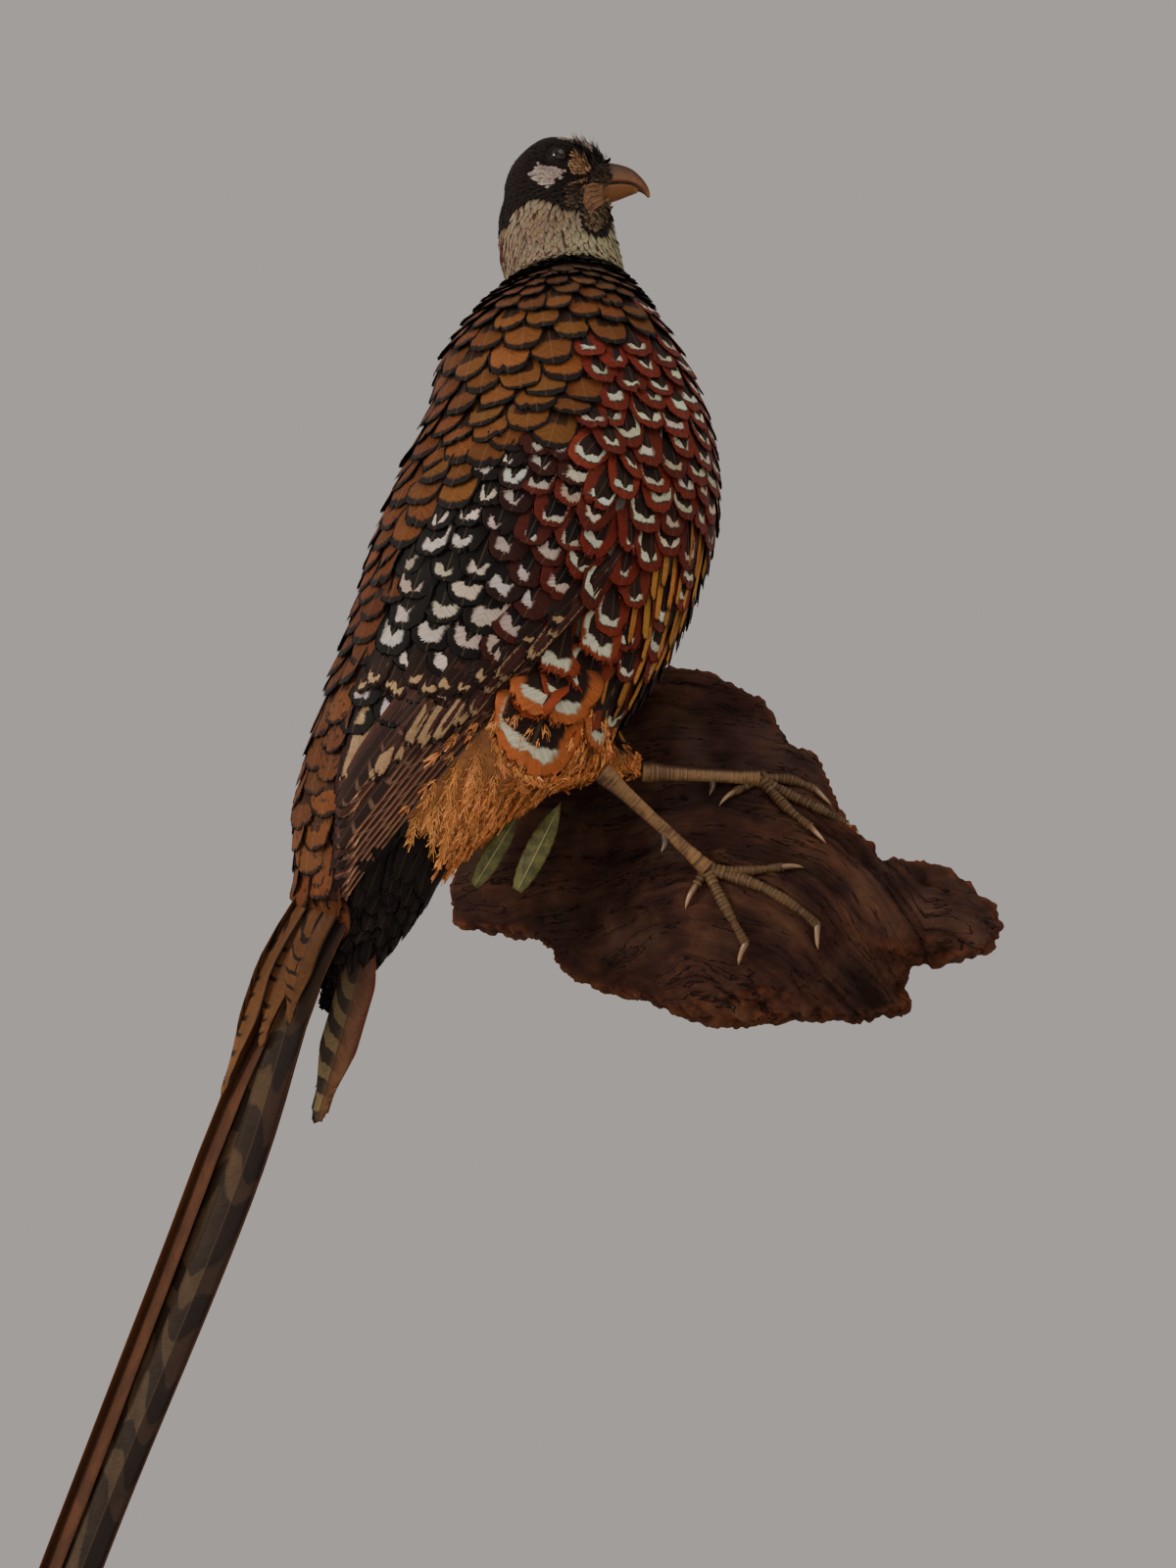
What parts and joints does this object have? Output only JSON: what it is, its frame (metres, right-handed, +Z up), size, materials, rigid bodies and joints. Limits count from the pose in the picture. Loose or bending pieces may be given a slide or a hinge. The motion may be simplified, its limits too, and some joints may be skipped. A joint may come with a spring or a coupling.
{
  "type": "mounted cock reeves's pheasant on a wood wall slab",
  "caption": "Life-size mounted cock Reeves's pheasant standing out from a ragged wood slab that hangs flat on a wall, tail trailing down.",
  "frame": {"origin": "middle of the wood slab's flat back, where it rests on the wall", "axes": "+Z up the wall, +Y into the wall, +X along the wall toward the bird's head"},
  "size_m": [1.3032, 0.2313, 0.674],
  "materials": {
    "body_feathers": "soft feather",
    "rump_feathers": "soft feather",
    "head_feathers": "soft feather",
    "neck_feathers": "soft feather",
    "wing_feathers": "smooth feather",
    "tail_feathers": "smooth feather",
    "vent_feathers": "soft feather",
    "thigh_feathers": "fluffy feather",
    "horn": "satin horn",
    "claw_horn": "satin horn",
    "glass_eye": "polished glass",
    "leg_scales": "dry scales",
    "toe_scales": "dry scales",
    "leaf": "matte dried leaf",
    "wood": "weathered, dull varnish"
  },
  "bodies": {
    "root": {"trunk": "body_feathers", "rump": "rump_feathers", "head": "head_feathers", "neck": "neck_feathers", "bill_upper": "horn", "bill_lower": "horn", "eye_right": "glass_eye", "eye_left": "glass_eye", "wing_right": "wing_feathers", "wing_left": "wing_feathers", "tail": "tail_feathers", "tail_outer": "tail_feathers", "undertail": "vent_feathers", "thigh_right": "thigh_feathers", "thigh_left": "thigh_feathers", "tarsus_right": "leg_scales", "tarsus_left": "leg_scales", "spur_right": "claw_horn", "spur_left": "claw_horn", "foot_right": "toe_scales", "foot_left": "toe_scales", "claw_right_inner": "claw_horn", "claw_right_middle": "claw_horn", "claw_right_outer": "claw_horn", "claw_right_hind": "claw_horn", "claw_left_inner": "claw_horn", "claw_left_middle": "claw_horn", "claw_left_outer": "claw_horn", "claw_left_hind": "claw_horn", "leaf_1": "leaf", "leaf_2": "leaf", "slab": "wood"}
  },
  "joints": []
}
